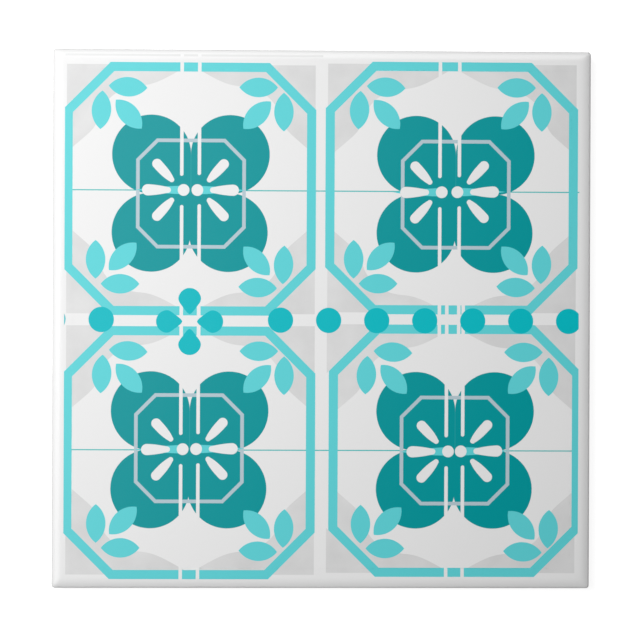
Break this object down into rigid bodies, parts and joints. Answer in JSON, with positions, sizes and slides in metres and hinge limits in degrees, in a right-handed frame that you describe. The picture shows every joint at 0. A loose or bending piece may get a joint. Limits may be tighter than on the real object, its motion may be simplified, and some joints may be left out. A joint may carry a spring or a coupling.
{
  "type": "azulejo tile",
  "caption": "Square glazed ceramic wall tile with a softly rolled face edge, a ribbed keying back and a printed azulejo pattern, for bonding to walls or use as a trivet.",
  "frame": {"origin": "middle of the bed face, the plane of the back's ribs", "axes": "+Z out of the glazed face, +Y towards the top of the printed pattern, +X to its right"},
  "size_m": [0.152, 0.152, 0.0064],
  "materials": {
    "glazed_ceramic": "gloss"
  },
  "bodies": {
    "root": {"tile": "glazed_ceramic"}
  },
  "joints": []
}
